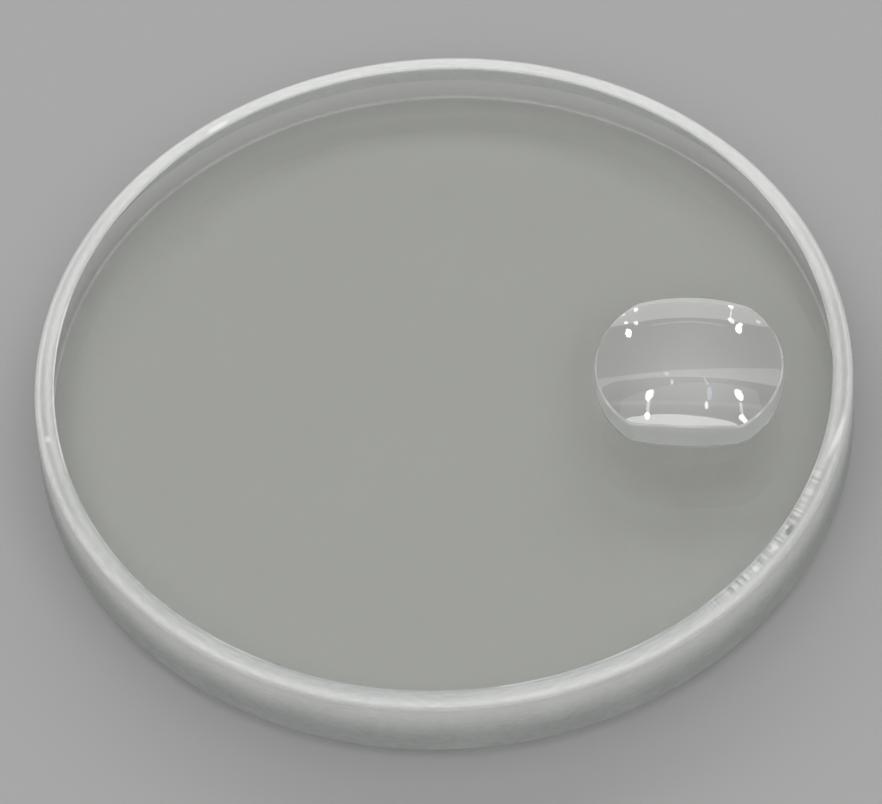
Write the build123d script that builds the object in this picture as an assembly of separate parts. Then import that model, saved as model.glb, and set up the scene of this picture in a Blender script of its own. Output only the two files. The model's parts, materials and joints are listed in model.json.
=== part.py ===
from build123d import *
import math
import os

# A flat round watch crystal with a small date lens cemented on its top face.
# The frame: origin at the centre of the underside, +Z out through the top face,
# +X towards the date lens. All sizes are in millimetres.

# Driving dimensions of the disc
disc_diameter = 30.5
disc_thickness = 3.3
top_bevel_width = 0.74
top_bevel_drop = 0.08
bottom_bevel_width = 0.62
bottom_bevel_height = 0.62
rim_edge_radius = 0.25
heel_edge_radius = 0.08

# Driving dimensions of the date lens
lens_blank_diameter = 7.0
lens_side_grind = 0.68
lens_side_bow = 0.2
lens_corner_radius = 0.8
lens_wall_height = 0.97
lens_dome_radius = 8.8
lens_edge_break = 0.06
lens_to_wall = 2.55

# Driving dimension of the cement film
cement_thickness = 0.05

# Places worked out from the sizes above
disc_radius = disc_diameter / 2
lens_blank_radius = lens_blank_diameter / 2
lens_distance = disc_radius - lens_to_wall - lens_blank_radius
cement_top = disc_thickness + cement_thickness


def crystal_disc():
    """The round disc: flat polished faces, a shallow top bevel, a straight wall and a bottom bevel."""
    face_radius = disc_radius - top_bevel_width
    under_radius = disc_radius - bottom_bevel_width
    rim_height = disc_thickness - top_bevel_drop
    outline = Polyline(
        (0, 0),
        (under_radius, 0),
        (disc_radius, bottom_bevel_height),
        (disc_radius, rim_height),
        (face_radius, disc_thickness),
        (0, disc_thickness),
        close=True,
    )
    section = make_face(Plane.XZ * outline)
    wall_corners = section.vertices().group_by(Axis.X)[-1].sort_by(Axis.Z)
    section = fillet(wall_corners[-1], rim_edge_radius)
    wall_corners = section.vertices().group_by(Axis.X)[-1].sort_by(Axis.Z)
    section = fillet(wall_corners[0], heel_edge_radius)
    return revolve(section, Axis.Z)


def lens_outline():
    """The lens from above: a round blank whose two long sides are ground to shallow bows."""
    corner_half_width = lens_blank_radius - lens_side_grind
    half_chord = math.sqrt(lens_blank_radius**2 - corner_half_width**2)
    bow_radius = (half_chord**2 + lens_side_bow**2) / (2 * lens_side_bow)
    bow_centre = corner_half_width + lens_side_bow - bow_radius
    long_sides = Pos(0, bow_centre) * Circle(bow_radius) & Pos(0, -bow_centre) * Circle(bow_radius)
    outline = Circle(lens_blank_radius) & long_sides
    return fillet(outline.vertices(), lens_corner_radius)


def lens_adhesive():
    """The clear cement film between the disc's top face and the flat base of the lens."""
    film = extrude(lens_outline(), cement_thickness)
    return Pos(lens_distance, 0, disc_thickness) * film


def date_lens():
    """The date magnifier: upright ground walls under a polished round dome."""
    dome_rise = lens_dome_radius - math.sqrt(lens_dome_radius**2 - lens_blank_radius**2)
    dome_top = lens_wall_height + dome_rise
    column = extrude(lens_outline(), dome_top)
    dome = Pos(0, 0, dome_top - lens_dome_radius) * Sphere(lens_dome_radius)
    lens = column & dome
    top_face = lens.faces().sort_by(Axis.Z)[-1]
    lens = chamfer(top_face.edges(), lens_edge_break)
    return Pos(lens_distance, 0, cement_top) * lens


nodes = {
    "crystal_disc": crystal_disc(),
    "lens_adhesive": lens_adhesive(),
    "date_lens": date_lens(),
}

os.makedirs("parts", exist_ok=True)
for name, shape in nodes.items():
    export_step(shape, f"parts/{name}.step")
    size = shape.bounding_box().size
    print(name, round(shape.volume, 3), "mm3", round(size.X, 3), round(size.Y, 3), round(size.Z, 3))
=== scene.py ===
# %% [markdown]
# This lesson dresses a watch crystal: the clear flat disc over a dial, with a small domed
# lens cemented above the date. The solid model comes first and is never moved. It gives the
# sizes, and every piece made here stands exactly where its solid does.

# %% Load the solid model
import bpy
import json
import math
from mathutils import Matrix, Vector
from mathutils.geometry import normal

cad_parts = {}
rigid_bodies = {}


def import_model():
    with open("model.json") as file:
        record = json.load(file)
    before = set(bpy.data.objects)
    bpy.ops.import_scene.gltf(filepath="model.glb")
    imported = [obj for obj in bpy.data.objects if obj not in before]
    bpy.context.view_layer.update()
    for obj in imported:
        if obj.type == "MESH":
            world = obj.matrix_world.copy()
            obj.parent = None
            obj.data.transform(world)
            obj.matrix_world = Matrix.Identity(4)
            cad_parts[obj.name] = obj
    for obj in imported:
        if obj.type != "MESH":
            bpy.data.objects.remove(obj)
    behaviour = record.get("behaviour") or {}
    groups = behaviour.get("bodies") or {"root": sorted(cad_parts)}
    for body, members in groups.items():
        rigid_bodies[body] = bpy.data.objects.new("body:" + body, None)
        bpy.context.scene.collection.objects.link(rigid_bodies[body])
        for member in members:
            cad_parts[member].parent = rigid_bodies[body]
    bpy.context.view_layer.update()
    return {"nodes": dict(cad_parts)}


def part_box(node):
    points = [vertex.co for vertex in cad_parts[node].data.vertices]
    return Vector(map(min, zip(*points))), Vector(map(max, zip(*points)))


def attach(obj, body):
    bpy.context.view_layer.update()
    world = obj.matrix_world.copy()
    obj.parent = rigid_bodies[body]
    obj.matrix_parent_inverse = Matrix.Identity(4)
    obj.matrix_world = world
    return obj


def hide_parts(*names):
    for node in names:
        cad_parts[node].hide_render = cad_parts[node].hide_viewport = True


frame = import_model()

print("solids:", ", ".join(sorted(frame["nodes"])))

# %% [markdown]
# A maker reads sizes off the part before cutting anything, and so does this lesson. What
# the boxes of the solids can tell is read from them. What a box can't tell, such as the
# width of a bevel or the radius of the lens's dome, is named here, in millimetres.

# %% Sizes of the disc, the cement film and the lens
mm = 0.001
touch = 0.001 * mm

disc_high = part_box("crystal_disc")[1]
film_low, film_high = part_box("lens_adhesive")
lens_low, lens_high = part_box("date_lens")

disc_radius = disc_high.x
disc_top = disc_high.z
top_bevel_width = 0.74 * mm
top_bevel_drop = 0.08 * mm
bottom_bevel = 0.62 * mm
rim_edge_radius = 0.25 * mm
heel_edge_radius = 0.08 * mm

film_top = film_high.z
lens_centre = (lens_low.x + lens_high.x) / 2
lens_top = lens_high.z
blank_radius = (lens_high.x - lens_low.x) / 2
half_width = (lens_high.y - lens_low.y) / 2
side_bow = 0.2 * mm
corner_radius = 0.8 * mm
dome_radius = 8.8 * mm
edge_break = 0.06 * mm

print("disc", round(disc_radius * 2 / mm, 2), "mm across and", round(disc_top / mm, 2), "mm thick")
print("lens", round(blank_radius * 2 / mm, 2), "by", round(half_width * 2 / mm, 2), "mm")

# %% [markdown]
# Operators in Blender act on whatever is selected, just as a tool cuts whatever is in the
# vice. So each step starts by clearing the selection and picking one piece. Inside a piece,
# faces and edges are picked by where they lie, which works without a mouse and keeps
# working when a size changes.

# %% Helpers that pick what a tool acts on
def work_on(piece):
    """Leaves edit mode, clears the selection and makes one piece the active one."""
    if bpy.context.mode != "OBJECT":
        bpy.ops.object.mode_set(mode="OBJECT")
    bpy.ops.object.select_all(action="DESELECT")
    if piece:
        piece.select_set(True)
        bpy.context.view_layer.objects.active = piece


def pick(piece, kind, test):
    """Opens edit mode with the faces, edges or points picked whose corners pass the test."""
    work_on(piece)
    bpy.ops.object.mode_set(mode="EDIT")
    bpy.ops.mesh.select_mode(type=kind)
    bpy.ops.mesh.select_all(action="DESELECT")
    bpy.ops.object.mode_set(mode="OBJECT")
    mesh = piece.data
    if kind == "VERT":
        for point in mesh.vertices:
            point.select = test([point.co])
    else:
        for part in mesh.polygons if kind == "FACE" else mesh.edges:
            part.select = test([mesh.vertices[corner].co for corner in part.vertices])
    bpy.ops.object.mode_set(mode="EDIT")


def at_height(height):
    """A test that is true where every corner lies at one height."""
    return lambda corners: all(abs(corner.z - height) < touch for corner in corners)


def extrude_up(lift):
    """Extrudes the picked faces straight up, or down if lift is negative."""
    bpy.ops.mesh.extrude_region_move(TRANSFORM_OT_translate={"value": (0, 0, lift)})


def draw_in(share, centre):
    """Scales what is picked towards a centre, seen from above."""
    bpy.ops.transform.resize(value=(share, share, 1), center_override=centre)


print("tools ready")

# %% [markdown]
# The disc starts as a slice of glass rod. Its top face is extruded by the drop of the top
# bevel and drawn in by the bevel's width, and the underside gets its steeper bevel the same
# way. A lathe profile spun round the axis would give the same body. Extruding is quicker
# here, because every ring of the disc is a plain circle.

# %% The disc's body
disc_points = 384
wall_low = bottom_bevel
wall_high = disc_top - top_bevel_drop
face_radius = disc_radius - top_bevel_width
under_radius = disc_radius - bottom_bevel

work_on(None)
bpy.ops.mesh.primitive_cylinder_add(
    vertices=disc_points,
    radius=disc_radius,
    depth=wall_high - wall_low,
    end_fill_type="NGON",
    location=(0, 0, (wall_high + wall_low) / 2),
)
disc = bpy.context.object
disc.name = "flat_disc"
bpy.ops.object.transform_apply(location=True, rotation=True, scale=True)

pick(disc, "FACE", at_height(wall_high))
extrude_up(top_bevel_drop)
draw_in(face_radius / disc_radius, (0, 0, disc_top))
pick(disc, "FACE", at_height(wall_low))
extrude_up(-bottom_bevel)
draw_in(under_radius / disc_radius, (0, 0, 0))
work_on(None)
print("disc body:", len(disc.data.polygons), "faces")

# %% [markdown]
# No ground edge is knife sharp. The two edges of the wall are rounded with the bevel tool.
# Its offset is the length that an arc of the wanted radius takes up on each face, which is
# the radius times the tangent of half the turn. Those small arcs catch the thin bright
# lines that run round the rim.

# %% Rounded wall edges
top_slope = math.atan2(top_bevel_drop, top_bevel_width)
bottom_slope = math.radians(45)
step_angle = math.radians(4)


def round_loop(height, radius, turn):
    """Rounds the ring of edges at one height to a radius, where the outline turns by an angle."""
    pick(disc, "EDGE", at_height(height))
    reach = radius * math.tan(turn / 2)
    steps = math.ceil(turn / step_angle)
    bpy.ops.mesh.bevel(offset=reach, offset_type="OFFSET", segments=steps, affect="EDGES")


round_loop(wall_high, rim_edge_radius, math.pi / 2 - top_slope)
round_loop(wall_low, heel_edge_radius, bottom_slope)
work_on(None)
print("disc with rounded edges:", len(disc.data.polygons), "faces")

# %% [markdown]
# The lens is a round blank whose two long sides were ground to shallow bows. Its outline is
# drawn as with a pair of compasses: one point is swung round eight centres in turn, and the
# spin tool leaves an arc behind it each time. The arcs are the two round ends, the two bowed
# sides and the four small corners. A boolean of three cylinders gives the same outline, but
# it leaves uneven points, which show as kinks in the reflections.

# %% Centres and angles of the outline's arcs
half_chord = math.sqrt(blank_radius ** 2 - (half_width - side_bow) ** 2)
bow_radius = (half_chord ** 2 + side_bow ** 2) / (2 * side_bow)
bow_shift = bow_radius - half_width

# A corner's centre is a corner radius inside both the blank's circle and the bow's circle
corner_y = ((bow_radius - corner_radius) ** 2 - (blank_radius - corner_radius) ** 2 - bow_shift ** 2)
corner_y = corner_y / (2 * bow_shift)
corner_x = math.sqrt((blank_radius - corner_radius) ** 2 - corner_y ** 2)
end_angle = math.atan2(corner_y, corner_x)
side_angle = math.pi / 2 - math.atan2(corner_y + bow_shift, corner_x)
corner_angle = math.pi / 2 - end_angle - side_angle
print("bow radius", round(bow_radius / mm, 2), "mm, corner turn", round(math.degrees(corner_angle), 1))

# %% Draw the outline with one swinging point
point_spacing = 0.08 * mm
clockwise = (0, 0, 1)


def swing(x, y, radius, angle):
    """Swings the picked point clockwise round a centre given from the middle of the lens."""
    steps = max(math.ceil(angle / step_angle), round(radius * angle / point_spacing))
    bpy.ops.mesh.spin(steps=steps, angle=angle, center=(lens_centre + x, y, film_low.z), axis=clockwise)


work_on(None)
bpy.ops.mesh.primitive_plane_add(size=mm, location=(lens_centre + blank_radius, 0, film_low.z))
film = bpy.context.object
film.name = "cement_film"
bpy.ops.object.transform_apply(location=True, rotation=True, scale=True)
bpy.ops.object.mode_set(mode="EDIT")
bpy.ops.mesh.select_mode(type="VERT")
bpy.ops.mesh.select_all(action="SELECT")
bpy.ops.mesh.merge(type="CENTER")

swing(0, 0, blank_radius, end_angle)
swing(corner_x, -corner_y, corner_radius, corner_angle)
swing(0, bow_shift, bow_radius, 2 * side_angle)
swing(-corner_x, -corner_y, corner_radius, corner_angle)
swing(0, 0, blank_radius, 2 * end_angle)
swing(-corner_x, corner_y, corner_radius, corner_angle)
swing(0, -bow_shift, bow_radius, 2 * side_angle)
swing(corner_x, corner_y, corner_radius, corner_angle)
swing(0, 0, blank_radius, end_angle)
bpy.ops.mesh.select_all(action="SELECT")
bpy.ops.mesh.remove_doubles(threshold=touch)
work_on(None)
print("outline:", len(film.data.vertices), "points and", len(film.data.edges), "edges")

# %% [markdown]
# The film of clear cement is a twentieth of a millimetre thick and has the lens's outline.
# The outline is filled, and extruding it gives the film. Before that, a copy of the filled
# outline is put aside. It is the footprint of the joint on the disc's top face.

# %% The footprint and the cement film
work_on(film)
bpy.ops.object.mode_set(mode="EDIT")
bpy.ops.mesh.select_all(action="SELECT")
bpy.ops.mesh.edge_face_add()
work_on(film)
bpy.ops.object.duplicate()
footprint = bpy.context.object

pick(film, "FACE", at_height(film_low.z))
extrude_up(film_top - film_low.z)
work_on(None)
print("film:", len(film.data.polygons), "faces")

# %% [markdown]
# The lens starts as a copy of the film, lifted on top of it. Its top face is pulled up to
# the height of the wall. A short extrusion, drawn in as it rises, is the fine edge break
# between wall and dome, and more rings are drawn in flat, down to a closed pole. Moving the
# pole with proportional editing and a sphere falloff then lifts each ring by the height of
# a sphere at that distance. So a flat face of rings becomes a true spherical dome, which is
# what a lens has to be. Subdividing and smoothing would only come near it.

# %% The lens's column and its rings
dome_rings = 28
break_share = 1 - edge_break / blank_radius
lens_pole = (lens_centre, 0, lens_top)

work_on(film)
bpy.ops.object.duplicate()
lens = bpy.context.object
lens.name = "domed_lens"
bpy.ops.object.mode_set(mode="EDIT")
bpy.ops.mesh.select_all(action="SELECT")
bpy.ops.transform.translate(value=(0, 0, film_top - film_low.z))

pick(lens, "FACE", at_height(film_top + film_top - film_low.z))
bpy.ops.transform.translate(value=(0, 0, lens_top - edge_break - 2 * film_top + film_low.z))
extrude_up(edge_break)
draw_in(break_share, lens_pole)
for ring in range(dome_rings, 1, -1):
    extrude_up(0)
    draw_in((ring - 1) / ring, lens_pole)
bpy.ops.mesh.merge(type="CENTER")
work_on(None)
print("lens:", len(lens.data.vertices), "points")

# %% Lift the rings to a sphere
pick(lens, "VERT", lambda corners: corners[0].z > film_top + touch)
bpy.ops.transform.translate(value=(0, 0, -dome_radius))
pick(lens, "VERT", at_height(film_top))
bpy.ops.mesh.hide(unselected=False)
pick(lens, "VERT", lambda corners: math.hypot(corners[0].x - lens_centre, corners[0].y) < touch)
bpy.ops.transform.translate(
    value=(0, 0, dome_radius),
    use_proportional_edit=True,
    proportional_edit_falloff="SPHERE",
    proportional_size=dome_radius,
)
bpy.ops.mesh.reveal(select=False)
work_on(None)
print("lens top at", round(max(point.co.z for point in lens.data.vertices) / mm, 3), "mm")

# %% [markdown]
# Where the lens is cemented down, light passes from lens to film to disc as through one
# piece of glass. For that, the disc's top face has to be split along the footprint. The big
# face is deleted, the footprint joined in, and the ring between the two outlines filled
# again. The disc stays a closed body, now with a patch of its own under the lens.

# %% Set the footprint into the disc's top face
pick(disc, "FACE", at_height(disc_top))
bpy.ops.mesh.delete(type="ONLY_FACE")
work_on(disc)
footprint.select_set(True)
bpy.ops.object.join()
pick(disc, "EDGE", at_height(disc_top))
bpy.ops.mesh.fill()
work_on(None)
print("disc:", len(disc.data.polygons), "faces")

# %% [markdown]
# Three jobs finish a mesh. Doubled points are merged, the faces are turned to point
# outwards, and the smooth shading is cut where the surface turns by more than an angle.
# Glass needs all three, because light bends wrongly at a face that points inwards. The
# angle lies between the steps of the roundings and the slope of the top bevel, so arcs look
# round and the line round the top face stays crisp.

# %% Close and shade the pieces
crisp_angle = math.radians(5)
for piece in (disc, film, lens):
    pick(piece, "FACE", lambda corners: True)
    bpy.ops.mesh.remove_doubles(threshold=touch / 10)
    bpy.ops.mesh.normals_make_consistent(inside=False)
    work_on(piece)
    bpy.ops.object.shade_smooth_by_angle(angle=crisp_angle)
    uses = {}
    for face in piece.data.polygons:
        for key in face.edge_keys:
            uses[key] = uses.get(key, 0) + 1
    print(piece.name, "is closed:", set(uses.values()) == {2})

# %% [markdown]
# A material in Blender is a small network of nodes, and drawing it in Python gets long. The
# two classes below keep it short. A Value is one output of a node, and adding, subtracting
# or multiplying values adds the Math nodes for it. A Recipe is one material's network, with
# a single method that makes any node. Everything else in this lesson is written with them.

# %% A short way to write materials
class Value:
    """One output of a node. Sums, differences and products of values add Math nodes."""

    def __init__(self, recipe, socket):
        self.recipe = recipe
        self.socket = socket

    def join(self, operation, first, second):
        return self.recipe.node("Math", {"operation": operation}, {0: first, 1: second})

    def __add__(self, other):
        return self.join("ADD", self, other)

    def __radd__(self, other):
        return self.join("ADD", other, self)

    def __sub__(self, other):
        return self.join("SUBTRACT", self, other)

    def __rsub__(self, other):
        return self.join("SUBTRACT", other, self)

    def __mul__(self, other):
        return self.join("MULTIPLY", self, other)

    def __rmul__(self, other):
        return self.join("MULTIPLY", other, self)


class Recipe:
    """A material's network of nodes, empty at first."""

    def __init__(self, name):
        self.material = bpy.data.materials.new(name)
        self.material.use_nodes = True
        self.tree = self.material.node_tree
        self.tree.nodes.clear()

    def node(self, kind, settings=None, values=None, output=0):
        """Makes a node: its settings first, then the values or links of its sockets."""
        made = self.tree.nodes.new("ShaderNode" + kind)
        for name, setting in (settings or {}).items():
            setattr(made, name, setting)
        for name, value in (values or {}).items():
            if isinstance(value, Value):
                self.tree.links.new(value.socket, made.inputs[name])
            else:
                made.inputs[name].default_value = value
        return Value(self, made.outputs[output])

    def place(self):
        """The point on the piece, in metres, and its x, y and z."""
        point = self.node("TexCoord", output="Object")
        return [point] + [self.node("SeparateXYZ", values={0: point}, output=axis) for axis in "XYZ"]

    def noise(self, point, scale, detail=2.0, roughness=0.5):
        """Soft random blotches from 0 to 1, that many to a unit of length."""
        values = {"Vector": point, "Scale": scale, "Detail": detail, "Roughness": roughness}
        return self.node("TexNoise", values=values)

    def ramp(self, value, low, high, new_low=0.0, new_high=1.0):
        """Maps the range from low to high smoothly to a new one, and stops at its ends."""
        values = {"Value": value, "From Min": low, "From Max": high}
        values.update({"To Min": new_low, "To Max": new_high})
        return self.node("MapRange", {"interpolation_type": "SMOOTHSTEP"}, values)

    def blend(self, factor, first, second):
        """Mixes two colours."""
        values = {0: factor, 6: (*first, 1), 7: (*second, 1)}
        return self.node("Mix", {"data_type": "RGBA"}, values, output=2)

    def finish(self, shader):
        """Sends a shader to the surface and returns the material."""
        output = self.tree.nodes.new("ShaderNodeOutputMaterial")
        self.tree.links.new(shader.socket, output.inputs["Surface"])
        return self.material


print("materials can be written")

# %% [markdown]
# Marks on a turned or ground part run round it. A pattern that follows them needs
# coordinates that go round too. Here the direction from the axis, a point on a circle of
# radius one, stands for the place along the rim. It has no seam, which an angle would have.
# The distance from the axis, or the height on the wall, is the coordinate across.

# %% Coordinates that follow the rim
def distance_from_axis(recipe):
    """The distance of a point from the disc's axis, in metres."""
    point, x, y, z = recipe.place()
    flat = recipe.node("CombineXYZ", values={0: x, 1: y})
    return recipe.node("VectorMath", {"operation": "LENGTH"}, {0: flat}, output="Value")


def rim_noise(recipe, along, across, detail=2.0):
    """Streaks round the rim: so many blotches to the radius along it, and one to each unit across."""
    point, x, y, z = recipe.place()
    flat = recipe.node("CombineXYZ", values={0: x, 1: y})
    way = recipe.node("VectorMath", {"operation": "NORMALIZE"}, {0: flat})
    east = recipe.node("SeparateXYZ", values={0: way}, output="X")
    north = recipe.node("SeparateXYZ", values={0: way}, output="Y")
    place = recipe.node("CombineXYZ", values={0: east * along, 1: north * along, 2: across})
    return recipe.noise(place, 1.0, detail)


print("rim coordinates ready")

# %% [markdown]
# The faces of the disc are polished mineral glass. A Principled shader with full
# transmission and the index of glass bends and reflects light as the real face does. The
# tint is the faint olive grey that a thick look through such glass has. Real polish is
# never quite even, so a soft pattern of wiping marks makes the gloss vary a little.

# %% Polished glass
glass_index = 1.52
wipes_to_metre = 380.0
wipe_detail = 3.0
wipe_low, wipe_high = 0.4, 0.8


def clear_glass(recipe, tint, roughness):
    """Glass that light passes, bent and mirrored at its face."""
    return recipe.node("BsdfPrincipled", values={
        "Base Color": (*tint, 1),
        "IOR": glass_index,
        "Transmission Weight": 1.0,
        "Roughness": roughness,
    })


def polished_glass(name, tint, haze):
    """Clear glass whose wiping marks have some haze, the rest none."""
    recipe = Recipe(name)
    wipes = recipe.noise(recipe.place()[0], wipes_to_metre, wipe_detail)
    return recipe.finish(clear_glass(recipe, tint, recipe.ramp(wipes, wipe_low, wipe_high, 0.0, haze)))


disc_glass = polished_glass("polished_disc_glass", tint=(0.975, 0.985, 0.95), haze=0.02)
lens_glass = polished_glass("polished_lens_glass", tint=(0.985, 0.99, 0.985), haze=0.01)
cement = polished_glass("clear_cement", tint=(0.98, 0.98, 0.96), haze=0.03)
print("glass:", disc_glass.name, lens_glass.name, cement.name)

# %% [markdown]
# The wall and the bevel under it are ground and left frosted. Ground glass is white because
# its pits scatter light both ways: some comes back, and some goes through. A Principled
# shader gives the first and a Translucent one the second, so the wall is also bright when
# it is seen from inside, through the top face. The bottom bevel lets nearly all light
# through, and the thin line round its foot less than half. A fine grain breaks up the white.
# The fine edge round the dome of the lens is frosted too, nearly clear on its far half, and
# painted white as a highlight on its near half, dimmer towards the rim of the disc.

# %% Frosted ground glass
grain_to_metre = 9000.0
grain_detail, grain_harshness = 3.0, 0.6
grain_low, grain_high = 0.2, 0.8
grain_depth = 0.02 * mm
grain_strength = 0.25
frost_white = (0.96, 0.965, 0.955)
# The grey is also the painted shade low on the disc's wall.
frost_grey = (0.21, 0.235, 0.225)
frost_smoothest, frost_roughest = 0.45, 0.65


def frost(recipe, colour, through):
    """Ground glass: grainy in front, with a share of the light let through from behind."""
    grain = recipe.noise(recipe.place()[0], grain_to_metre, grain_detail, grain_harshness)
    bump = recipe.node("Bump", values={
        "Height": grain,
        "Strength": grain_strength,
        "Distance": grain_depth,
    })
    front = recipe.node("BsdfPrincipled", values={
        "Base Color": colour,
        "IOR": glass_index,
        "Roughness": recipe.ramp(grain, grain_low, grain_high, frost_smoothest, frost_roughest),
        "Normal": bump,
    })
    behind = recipe.node("BsdfTranslucent", values={"Color": (*frost_white, 1)})
    return recipe.node("MixShader", values={0: through, 1: front, 2: behind})


# %% The disc's wall
wall_painted_light_start, wall_painted_light_full = 1.2 * mm, 2.9 * mm
heel_low, heel_high = bottom_bevel - 0.04 * mm, bottom_bevel + 0.02 * mm
painted_foot_line_top = 0.13 * mm
wall_through, bevel_through, foot_through = 0.38, 0.95, 0.4
wall_rings = 40.0
wall_clouds_to_metre = 500.0
wall_ring_share = 0.6
wall_tone_share = 0.2
noise_low, noise_high = 0.3, 0.7


def frosted_wall(name):
    """Painted shade low down, painted light towards the top and a painted bright foot line."""
    recipe = Recipe(name)
    point, x, y, height = recipe.place()
    rings = rim_noise(recipe, wall_rings, height * grain_to_metre)
    cloud = recipe.noise(point, wall_clouds_to_metre)
    streaky = wall_ring_share * rings + (1 - wall_ring_share) * cloud
    tone = recipe.ramp(streaky, noise_low, noise_high)
    # Painted light and shade: lighter towards the top, a bright line round the foot, darker between.
    top = recipe.ramp(height, wall_painted_light_start, wall_painted_light_full)
    foot = recipe.ramp(height, painted_foot_line_top, painted_foot_line_top / 2)
    streaks_and_painted_light = wall_tone_share * tone + (1 - wall_tone_share) * (top + foot)
    colour = recipe.blend(streaks_and_painted_light, frost_grey, frost_white)
    through = recipe.ramp(height, heel_low, heel_high, bevel_through, wall_through)
    return recipe.finish(frost(recipe, colour, through - (bevel_through - foot_through) * foot))


ground_wall = frosted_wall("frosted_wall_and_painted_light")
print("frosted:", ground_wall.name)

# %% The edge round the dome
edge_tint = (0.97, 0.98, 0.97)
edge_haze = 0.1
edge_through = 0.2
edge_clouds_to_metre = 900.0
edge_clear_y, painted_highlight_y = 1.2 * mm, -0.6 * mm
painted_highlight_x, painted_dimming_x = 1.8 * mm, 3.0 * mm
edge_least, painted_dimmed_share = 0.2, 0.55


def lens_edge_with_painted_highlight(name):
    """Frosted, with a painted highlight: white on the near half, dimmer towards the disc's rim."""
    recipe = Recipe(name)
    point, x, y, z = recipe.place()
    cloud = recipe.noise(point, edge_clouds_to_metre)
    ground = frost(recipe, recipe.blend(cloud, frost_grey, frost_white), edge_through)
    clear = clear_glass(recipe, edge_tint, edge_haze)
    # Painted highlight: the near half is white and dims towards the rim of the disc.
    near = recipe.ramp(y, edge_clear_y, painted_highlight_y, edge_least, 1.0)
    inward = recipe.ramp(x - lens_centre, painted_highlight_x, painted_dimming_x, 1.0, painted_dimmed_share)
    return recipe.finish(recipe.node("MixShader", values={0: near * inward, 1: clear, 2: ground}))


lens_edge_finish = lens_edge_with_painted_highlight("frosted_lens_edge_painted_highlight")
print("frosted:", lens_edge_finish.name)

# %% [markdown]
# The top bevel looks neither clear nor frosted, but a milky satin, whitest towards the wall,
# as if it was ground finer and then felt polished. A short row of light and dark bars across
# the bevel, on the side of the lens that faces us, is a painted reflection. A sine of the
# angle makes the bars, and ramps along and across the bevel fade them out. A few streaks and
# spots are painted highlights, and one is a painted dark spot among the bars. Each is a line
# in a list: its angle, its place across the bevel, half its length in degrees, its slant and
# its strength, which is below zero for a dark one.

# %% Painted bars, streaks and spots of light and shade
bar_count = 260
bar_wander = 30.0
bar_slant = 1.2
wander_spots, wander_layer = 20.0, 1.0
patch_spots, patch_layer = 50.0, 5.0
patch_low, patch_high = 0.3, 0.65
bars_first, bars_last = math.radians(-46), math.radians(-13)
bars_fade = math.radians(6)
bars_inner, bars_inner_full = 0.02, 0.14
bars_outer, bars_outer_full = 0.68, 0.3
streak_half_width = 0.2
streaks = (
    (-9.0, 0.62, 6.0, 1.7, 0.5),
    (-26.9, 0.45, 1.3, 0.0, -1.0),
    (-30.7, 0.39, 1.0, 0.0, 0.4),
    (-35.2, 0.38, 0.8, 0.0, 0.45),
    (129.2, 0.33, 2.2, 0.0, 0.5),
    (-166.3, 0.56, 0.9, 0.0, 0.4),
)


def angle_round(recipe):
    """The angle round the axis, in radians from +X."""
    point, x, y, z = recipe.place()
    return recipe.node("Math", {"operation": "ARCTAN2"}, {0: y, 1: x})


def size_of(recipe, value):
    """A value without its sign."""
    return recipe.node("Math", {"operation": "ABSOLUTE"}, {0: value})


def painted_reflection_bars(recipe, across):
    """Painted reflection: bars from -1 to 1 across the bevel, within one stretch of the rim."""
    angle = angle_round(recipe)
    uneven = rim_noise(recipe, wander_spots, wander_layer)
    patchy = recipe.ramp(rim_noise(recipe, patch_spots, patch_layer), patch_low, patch_high)
    turns = angle * bar_count + bar_wander * uneven + bar_slant * across
    wave = recipe.node("Math", {"operation": "SINE"}, {0: turns})
    along = recipe.ramp(angle, bars_first, bars_first + bars_fade)
    along = along * recipe.ramp(angle, bars_last, bars_last - bars_fade)
    band = recipe.ramp(across, bars_inner, bars_inner_full)
    band = band * recipe.ramp(across, bars_outer, bars_outer_full)
    return wave * along * band * patchy


def painted_streak(recipe, across, middle_angle, middle_across, half_length, slant, strength):
    """A painted spot or streak of highlight, dark where the strength is below zero."""
    angle = angle_round(recipe) - math.radians(middle_angle)
    aside = size_of(recipe, across - middle_across - slant * angle)
    along = recipe.ramp(size_of(recipe, angle), math.radians(half_length), 0.0)
    return strength * recipe.ramp(aside, streak_half_width, 0.0) * along


print("bars and", len(streaks), "streaks ready")

# %% [markdown]
# The satin itself mixes clear glass with a milky one, and the share and the tone of the
# milky one carry all marks. On the left and on the right a soft band of painted shade follows
# the rim. A thin line marks the bevel's inner edge: painted shade at the back, and a painted
# glint in places. Where a mark lies across the bevel is told from 0 at the inner edge to 1 at
# the wall. Towards us the inner half of the bevel is painted cooler and darker, a painted
# reflection. It is part of the surface, so it stays on that side of the disc.

# %% Where the marks lie on the satin
milky_full = 0.3
line_end, line_full = 0.11, 0.06
painted_shade_line_start, painted_shade_line_full = 0.3 * disc_radius, 0.8 * disc_radius
painted_glint_line_low, painted_glint_line_high = 0.45, 0.6
painted_side_shade_inner, painted_side_shade_inner_full = 0.36, 0.58
painted_side_shade_outer, painted_side_shade_outer_full = 0.8, 0.62
painted_side_shade_start, painted_side_shade_full = 0.75 * disc_radius, 0.95 * disc_radius
painted_reflection_outer, painted_reflection_full = 0.75, 0.3
painted_reflection_start, painted_reflection_near = 0.0, -0.8 * disc_radius


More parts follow.
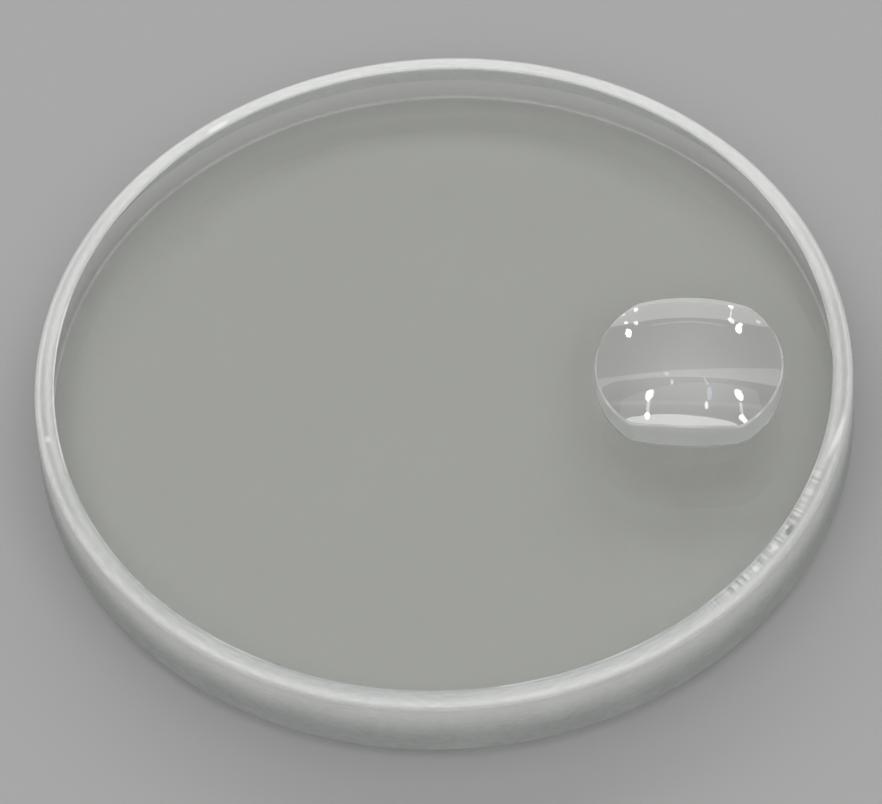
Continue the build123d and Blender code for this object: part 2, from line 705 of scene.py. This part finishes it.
def satin_marks(recipe, across, drift):
    """The painted shade line, glint line, side shade and cool near half, each from 0 to 1."""
    point, x, y, z = recipe.place()
    inner_line = recipe.ramp(across, line_end, line_full)
    painted_shade_line = inner_line * recipe.ramp(y, painted_shade_line_start, painted_shade_line_full)
    painted_glint_line = inner_line * recipe.ramp(drift, painted_glint_line_low, painted_glint_line_high)
    painted_side_shade = recipe.ramp(across, painted_side_shade_inner, painted_side_shade_inner_full)
    painted_side_shade = painted_side_shade * recipe.ramp(across, painted_side_shade_outer, painted_side_shade_outer_full)
    painted_side_shade = painted_side_shade * recipe.ramp(size_of(recipe, x), painted_side_shade_start, painted_side_shade_full)
    cool = recipe.ramp(across, painted_reflection_outer, painted_reflection_full) * recipe.ramp(y, painted_reflection_start, painted_reflection_near)
    return painted_shade_line, painted_glint_line, painted_side_shade, cool


print("marks of the satin ready")

# %% Satin bevel
satin_tint = (0.95, 0.96, 0.94)
satin_haze = 0.03
satin_clear = 0.3
satin_smoothest, satin_roughest = 0.16, 0.26
satin_white = (0.95, 0.95, 0.92)
satin_dark = (0.36, 0.4, 0.43)
satin_rings = 30.0
rings_to_metre = 12000.0
ring_share = 0.6
drift_spots = 2.5

# How much milky glass there is, and what the marks add to it or take away
share_least, share_more, share_painted_side_shade, share_painted_glint, share_bars = 0.45, 0.4, 0.3, 0.5, 0.3
# The same for how light it is
tone_least, tone_rings, tone_bars, tone_painted_reflection, tone_painted_shade = 0.68, 0.25, 0.26, 0.3, 0.9


def satin_glass(name):
    """Clear glass mixed with a milky one, whose share and tone carry marks and painted light."""
    recipe = Recipe(name)
    radius = distance_from_axis(recipe)
    across = (radius - face_radius) * (1 / top_bevel_width)
    rings = rim_noise(recipe, satin_rings, radius * rings_to_metre)
    drift = rim_noise(recipe, drift_spots, 0.0)
    bars = painted_reflection_bars(recipe, across)
    painted_shade_line, painted_glint_line, painted_side_shade, cool = satin_marks(recipe, across, drift)
    share = share_least + share_more * recipe.ramp(across, 0.0, milky_full)
    share = share - share_painted_side_shade * painted_side_shade + share_painted_glint * painted_glint_line - share_bars * bars
    streaky = ring_share * rings + (1 - ring_share) * drift
    tone = tone_least + tone_rings * recipe.ramp(streaky, noise_low, noise_high)
    # Painted light and shade: the bars, the cool near half and the dark line at the back.
    tone = tone - tone_bars * bars - tone_painted_reflection * cool - tone_painted_shade * painted_shade_line
    for streak in streaks:
        mark = painted_streak(recipe, across, *streak)
        share = share + mark
        tone = tone + mark
    milky = recipe.node("BsdfPrincipled", values={
        "Base Color": recipe.blend(tone, satin_dark, satin_white),
        "IOR": glass_index,
        "Transmission Weight": satin_clear,
        "Roughness": recipe.ramp(rings, noise_low, noise_high, satin_smoothest, satin_roughest),
    })
    clear = clear_glass(recipe, satin_tint, satin_haze)
    return recipe.finish(recipe.node("MixShader", values={0: share, 1: clear, 2: milky}))


satin_bevel = satin_glass("satin_bevel_and_painted_light")
print("satin:", satin_bevel.name)

# %% [markdown]
# The upright walls of the lens were ground with a finer wheel than the disc's wall. They are
# frosted too, but a little of what lies behind still shows. Painted light makes them whiter
# towards the dome, and their faint streaks run up and down, as the wheel went.

# %% Fine ground walls of the lens
lens_wall_grey = (0.66, 0.67, 0.64)
lens_wall_white = (0.86, 0.87, 0.84)
lens_wall_share = 0.62
lens_wall_through = 0.45
lens_lines_to_metre = 9000.0
lens_lines_scale = (1, 1, 0.1)
lens_lines_share = 0.2
lens_painted_light_start, lens_painted_light_full = film_top + 0.6 * mm, film_top + 1.15 * mm


def lens_wall_glass(name):
    """Clear glass mixed with ground glass, painted lighter towards the dome."""
    recipe = Recipe(name)
    point, x, y, z = recipe.place()
    drawn = recipe.node("Mapping", values={"Vector": point, "Scale": lens_lines_scale})
    lines = recipe.noise(drawn, lens_lines_to_metre)
    top = recipe.ramp(z, lens_painted_light_start, lens_painted_light_full)
    streaks_and_painted_light = lens_lines_share * lines + (1 - lens_lines_share) * top
    colour = recipe.blend(streaks_and_painted_light, lens_wall_grey, lens_wall_white)
    ground = frost(recipe, colour, lens_wall_through)
    clear = clear_glass(recipe, edge_tint, edge_haze)
    return recipe.finish(recipe.node("MixShader", values={0: lens_wall_share, 1: clear, 2: ground}))


lens_wall = lens_wall_glass("fine_ground_lens_wall_painted_light")
print("lens wall:", lens_wall.name)

# %% [markdown]
# Where lens, cement and disc touch there is no air between them, so a real joint can't be
# seen. Three closed meshes do have faces there. They get a surface that lets all light
# straight through.

# %% The joint
def joined_faces(name):
    """A surface that isn't there for light."""
    recipe = Recipe(name)
    return recipe.finish(recipe.node("BsdfTransparent"))


joint = joined_faces("cemented_joint")
print("joint:", joint.name)

# %% [markdown]
# Each piece now gets its materials, and each face one of them. The faces are picked by
# where they lie, as before, and the material slot is assigned to what is picked.

# %% Materials on faces
def paint(piece, materials_and_tests):
    """Gives each material to the faces that pass its test, a later one over an earlier one."""
    piece.data.materials.clear()
    for material, test in materials_and_tests:
        piece.data.materials.append(material)
        pick(piece, "FACE", test)
        piece.active_material_index = len(piece.data.materials) - 1
        bpy.ops.object.material_slot_assign()
        work_on(piece)
        slots = [face.material_index for face in piece.data.polygons]
        print(piece.name, "has", slots.count(piece.active_material_index), "faces of", material.name)


# The satin starts half way round the rounded rim
bevel_low = wall_high - rim_edge_radius / 2
upright_limit = 0.2
dome_limit = 0.85


def everywhere(corners):
    return True


def levelness(corners):
    """1 on a level face and 0 on an upright one."""
    return abs(normal(corners).z)


def on_wall(corners):
    heights = [corner.z for corner in corners]
    return min(heights) < bevel_low - touch and max(heights) > touch


def on_top_bevel(corners):
    return bevel_low - touch < min(corner.z for corner in corners) < disc_top - touch


def under_the_lens(corner):
    return lens_low.x - touch < corner.x < lens_high.x + touch and abs(corner.y) < half_width + touch


def on_footprint(corners):
    return at_height(disc_top)(corners) and all(under_the_lens(corner) for corner in corners)


def on_film_faces(corners):
    return at_height(film_low.z)(corners) or at_height(film_top)(corners)


def on_lens_wall(corners):
    return levelness(corners) < upright_limit


def on_lens_edge(corners):
    return upright_limit <= levelness(corners) < dome_limit


paint(disc, [
    (disc_glass, everywhere), (ground_wall, on_wall), (satin_bevel, on_top_bevel),
    (joint, on_footprint),
])
paint(film, [(cement, everywhere), (joint, on_film_faces)])
paint(lens, [
    (lens_glass, everywhere), (lens_wall, on_lens_wall), (lens_edge_finish, on_lens_edge),
    (joint, at_height(film_top)),
])

# %% [markdown]
# The three pieces now stand in for the three solids. Each one says which solid it replaces
# and which body carries it.

# %% Tie the pieces to the solid model
for piece, node, slot in (
    (disc, "crystal_disc", "crystal_glass"),
    (film, "lens_adhesive", "optical_cement"),
    (lens, "date_lens", "lens_glass"),
):
    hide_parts(node)
    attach(piece, "root")
    print(piece.name, "stands for", node)

# %% [markdown]
# The camera looks down at the crystal from its photograph's side. Its height and its roll
# come from the ellipses that the rim makes in the picture. A round disc can't show its turn,
# so that comes from the place of the lens. The distance is long, as for a small thing taken
# from afar. The pixel where the axis of the disc should fall, and the size of the radius in
# pixels, then fix its aim and its lens.

# %% Camera
photo_width = 882
photo_height = 804
camera_height = math.radians(52.96)
camera_turn = math.radians(6.75)
camera_roll = math.radians(-3.72)
camera_distance = 30 * disc_radius
pixels_per_radius = 407.2
axis_pixel = (446.5, 427.5)
sensor_width = 36.0

pixel = disc_radius / pixels_per_radius
back = Vector((
    math.sin(camera_turn) * math.cos(camera_height),
    -math.cos(camera_turn) * math.cos(camera_height),
    math.sin(camera_height),
))
level_right = Vector((math.cos(camera_turn), math.sin(camera_turn), 0))
level_up = back.cross(level_right)
right = level_right * math.cos(camera_roll) + level_up * math.sin(camera_roll)
up = back.cross(right)
stand = back * camera_distance
aim = right * ((photo_width / 2 - axis_pixel[0]) * pixel)
aim += up * ((axis_pixel[1] - photo_height / 2) * pixel)
back = (stand - aim).normalized()
right = (right - back * right.dot(back)).normalized()
up = back.cross(right)
focal_pixels = pixels_per_radius * camera_distance / disc_radius

camera_data = bpy.data.cameras.new("photo_camera")
camera_data.sensor_width = sensor_width
camera_data.lens = focal_pixels / photo_width * sensor_width
camera_data.clip_start = 10 * mm
camera = bpy.data.objects.new("photo_camera", camera_data)
bpy.context.scene.collection.objects.link(camera)
camera.matrix_world = Matrix.Translation(stand) @ Matrix((right, up, back)).transposed().to_4x4()
bpy.context.scene.camera = camera
print("camera", round(camera_distance, 3), "m away")

# %% [markdown]
# Clear glass has no colour of its own to show. What shows is where the lamps stand. So the
# lamps of the lens are placed by their mirror images in its dome: a pixel of the picture
# gives a ray, the ray meets the dome, and the mirrored ray says where the lamp has to be.
# Trial and error would find the same places, but slowly.

# %% Where the dome mirrors a pixel
dome_centre = Vector((lens_centre, 0, lens_top - dome_radius))
half_pixel = 0.5


def mirrored(pixel):
    """The way in which the dome sends the camera's ray through a pixel of the photograph."""
    across = pixel[0] + half_pixel - photo_width / 2
    down = pixel[1] + half_pixel - photo_height / 2
    ray = (right * across - up * down - back * focal_pixels).normalized()
    centre_way = dome_centre - stand
    nearest = ray.dot(centre_way)
    depth = nearest - math.sqrt(dome_radius ** 2 - centre_way.length_squared + nearest ** 2)
    outward = (stand + ray * depth - dome_centre).normalized()
    return ray - 2 * ray.dot(outward) * outward


near_edge_pixel = (690, 427)
near_edge_way = mirrored(near_edge_pixel)
print("near edge of the dome mirrors the way", [round(part, 2) for part in near_edge_way])

# %% [markdown]
# The floor is a plain pale grey. The soft studio light is an even room light and three wide
# softboxes: overhead, on the camera's side and behind the disc. The levels that they give on
# the floor add up to about one, so that a colour renders about as it is written. They are
# wide rather than bright, because the flat faces of the disc mirror them from some sides, and
# a bright one would turn the whole face white.

# %% Floor and room light
floor_tone = 0.39
floor_size = 6.0
floor_drop = 0.03 * mm
floor_roughness, floor_gloss = 0.9, 0.1

work_on(None)
bpy.ops.mesh.primitive_plane_add(size=floor_size, location=(0, 0, -floor_drop))
floor = bpy.context.object
floor.name = "floor"
floor_recipe = Recipe("pale_floor")
floor.data.materials.append(floor_recipe.finish(floor_recipe.node("BsdfPrincipled", values={
    "Base Color": (floor_tone, floor_tone, floor_tone, 1),
    "Roughness": floor_roughness,
    "Specular IOR Level": floor_gloss,
})))

room_level = 0.35
world = bpy.data.worlds.new("room_light")
bpy.context.scene.world = world
world.use_nodes = True
room_socket = world.node_tree.nodes["Background"].inputs["Color"]
room_socket.default_value = (room_level, room_level, room_level, 1)
print("room light", room_level)

# %% Lamps
lamp_distance = 2.0
white = (1.0, 1.0, 1.0)


def lamp(name, shape, way, along, length, width, radiance, colour=white):
    """An area lamp that faces the lens from a given way, its long side along another."""
    light = bpy.data.lights.new(name, "AREA")
    light.shape = shape
    light.size = width * lamp_distance
    light.size_y = length * lamp_distance
    area = light.size * light.size_y * (math.pi / 4 if shape == "ELLIPSE" else 1)
    light.energy = radiance * math.pi * area
    light.color = colour
    holder = bpy.data.objects.new(name, light)
    bpy.context.scene.collection.objects.link(holder)
    long_side = (along - way * along.dot(way)).normalized()
    axes = Matrix((long_side.cross(way), long_side, way)).transposed()
    holder.matrix_world = Matrix.Translation(Vector(lens_pole) + way * lamp_distance) @ axes.to_4x4()
    holder.visible_camera = False
    return holder


# %% Three wide softboxes
patches = 20


def floor_share(way, across, length, width):
    """The level on the floor from such a lamp of radiance one, summed over small patches of it."""
    total = 0
    for row in range(patches):
        for column in range(patches):
            along_it = across * length * ((row + 0.5) / patches - 0.5)
            up_it = across.cross(way) * width * ((column + 0.5) / patches - 0.5)
            patch = way + along_it + up_it
            total += patch.z * patch.dot(way) / patch.length ** 4
    return total * length * width / (math.pi * patches ** 2)


# Each has a tilt from overhead towards the camera, a length, a width and a level on the floor
toward = Vector((back.x, back.y, 0)).normalized()
for name, tilt, length, width, level in (
    ("top_softbox", math.radians(15), 1.4, 1.4, 0.36),
    ("front_softbox", math.radians(45), 1.6, 0.7, 0.08),
    ("back_softbox", math.radians(-55), 2.2, 0.5, 0.21),
):
    way = Vector((0, 0, math.cos(tilt))) + toward * math.sin(tilt)
    radiance = level / floor_share(way, level_right, length, width)
    lamp(name, "RECTANGLE", way, level_right, length, width, radiance)
    print(name, "level", level, "from a radiance of", round(radiance, 2))

# The dome must not mirror the back softbox, so it lights all but the lens
all_but_lens = bpy.data.collections.new("lit_by_back_softbox")
for piece in (disc, film, floor):
    all_but_lens.objects.link(piece)
bpy.data.objects["back_softbox"].light_linking.receiver_collection = all_but_lens

# %% [markdown]
# The lens gets lamps of its own, which are seen as images in its dome. The overhead one makes
# the white band along the dome's near edge, and a dim low one behind the disc makes the grey
# band along its far edge. Small ones make the sparks. Light linking keeps them to the lens,
# and they are hidden from diffuse and from transmitted rays, so that the glass under the dome
# doesn't pass them on to the floor. Each lamp of a spark stands a step farther off than the
# one before it, as no two should lie in one plane. The images fit the photograph's view. From
# any other side they move or vanish, as they do in a real dome.

# %% Softboxes placed by their mirror images
lens_only = bpy.data.collections.new("lit_by_mirrored_lamps")
lens_only.objects.link(lens)


def mirrored_lamp(name, shape, first_pixel, last_pixel, width_pixels, radiance, colour=white):
    """A lamp whose image in the dome runs from one pixel to another and is that many pixels wide."""
    first, last = Vector(first_pixel), Vector(last_pixel)
    middle = (first + last) / 2
    aside = (last - first).orthogonal().normalized() * (width_pixels / 2)
    along = mirrored(last) - mirrored(first)
    width = (mirrored(middle + aside) - mirrored(middle - aside)).length
    holder = lamp(name, shape, mirrored(middle), along, along.length + width, width, radiance, colour)
    holder.light_linking.receiver_collection = lens_only
    holder.visible_diffuse = False
    holder.visible_transmission = False
    return holder


# The first and the last pixel of its image, the image's width in pixels, and its radiance
mirrored_lamp("overhead_softbox", "RECTANGLE", (612, 419.5), (740, 423), 15, 6.5)
mirrored_lamp("low_softbox", "ELLIPSE", (622, 302), (754, 302), 28, 2.0)
print("two softboxes for the dome")

# %% Sparks in the lens
cool = (0.5, 0.72, 1.0)
grey = (0.8, 0.8, 0.74)
spark_step = 3 * mm

# The same for each spark, and its colour
sparks = (
    ("spark_far_left", "ELLIPSE", (627, 329.5), (628.6, 335.5), 6, 15.0, white),
    ("speck_far_left", "ELLIPSE", (635, 308), (635.4, 310.5), 4, 9.0, white),
    ("speck_far_left_low", "ELLIPSE", (634.8, 321.5), (635.8, 323.5), 4.5, 9.0, white),
    ("speck_far_left_side", "ELLIPSE", (624.8, 321.6), (625.6, 322.8), 3.5, 9.0, white),
    ("speck_left", "ELLIPSE", (620.5, 313.5), (622, 314.5), 4, 4.0, white),
    ("spark_far_right", "ELLIPSE", (738, 325.5), (738.5, 331.5), 6, 15.0, white),
    ("spark_far_right_knob", "ELLIPSE", (740.2, 323.2), (740.6, 324.6), 3, 15.0, white),
    ("tail_far_right", "RECTANGLE", (730.8, 308), (730.2, 317), 1.6, 4.0, white),
    ("tail_far_right_top", "ELLIPSE", (730.3, 305.6), (731, 307.2), 3, 9.0, white),
    ("tail_far_right_foot", "ELLIPSE", (730, 318.5), (731.5, 321.5), 4, 9.0, white),
    ("speck_far_right", "ELLIPSE", (758, 320.6), (758.3, 322), 3, 4.0, white),
    ("line_far", "RECTANGLE", (650, 321), (727, 321.5), 1, 1.5, white),
    ("spark_near_left", "ELLIPSE", (649.5, 392), (648, 397), 7.5, 15.0, white),
    ("tail_near_left", "RECTANGLE", (648, 400), (647, 413), 3.2, 6.0, white),
    ("foot_near_left", "ELLIPSE", (646.6, 414.3), (646.8, 416.5), 6, 15.0, white),
    ("spark_near_right", "ELLIPSE", (737.5, 392), (740, 397), 7.5, 15.0, white),
    ("tail_near_right", "RECTANGLE", (740.5, 403), (741.5, 414), 3, 6.0, white),
    ("foot_near_right", "ELLIPSE", (741.5, 417), (743, 418.5), 6, 15.0, white),
    ("sliver_top", "ELLIPSE", (703, 376), (707.5, 384), 1.6, 5.0, grey),
    ("sliver_cool", "ELLIPSE", (709, 388), (709, 398), 5.5, 4.0, cool),
    ("sliver_foot", "ELLIPSE", (706, 402), (706, 407.5), 3.6, 12.0, white),
    ("dot_upper", "ELLIPSE", (664.8, 372), (666, 374), 3, 4.0, white),
    ("dot_lower", "ELLIPSE", (671.4, 380), (671.4, 383), 3.4, 5.0, white),
)
for place_in_row, spark in enumerate(sparks):
    holder = mirrored_lamp(*spark)
    holder.location += place_in_row * spark_step * holder.matrix_world.col[2].to_3d()
print(len(sparks), "sparks")

# %% [markdown]
# Two things belong to this object. The Standard view shows colours as they are written. And
# light has to pass many faces in a row here, through lens, cement and disc and back, and is
# mirrored to and fro inside them. So Cycles may follow a ray further than it does by default,
# and doesn't blur it on the way.

# %% How light is shown and followed
most_bounces = 24
most_open_faces = 32

bpy.context.scene.view_settings.view_transform = "Standard"
cycles = bpy.context.scene.cycles
cycles.blur_glossy = 0.0
cycles.max_bounces = most_bounces
cycles.transmission_bounces = most_bounces
cycles.glossy_bounces = most_bounces
cycles.transparent_max_bounces = most_open_faces
print("a ray is followed through", most_bounces, "faces")
